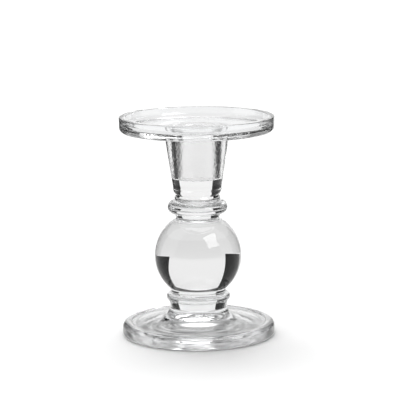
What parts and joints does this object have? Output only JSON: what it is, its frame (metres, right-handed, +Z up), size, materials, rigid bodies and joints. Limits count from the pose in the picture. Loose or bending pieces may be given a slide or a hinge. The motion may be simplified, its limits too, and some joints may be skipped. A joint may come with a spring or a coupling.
{
  "type": "glass candlestick",
  "caption": "Clear glass candlestick: round foot, collars either side of a solid ball, tapered candle socket and a dished plate on top.",
  "frame": {"origin": "centre of the foot's resting ring, on the surface it stands on", "axes": "+Z up along the turning axis; the shape is round, so X and Y are free"},
  "size_m": [0.0906, 0.0906, 0.1296],
  "materials": {
    "clear_glass": "fire-polished clear pressed glass"
  },
  "bodies": {
    "root": {"foot": "clear_glass", "lower_collar": "clear_glass", "ball": "clear_glass", "upper_collar": "clear_glass", "candle_socket": "clear_glass", "drip_plate": "clear_glass"}
  },
  "joints": []
}
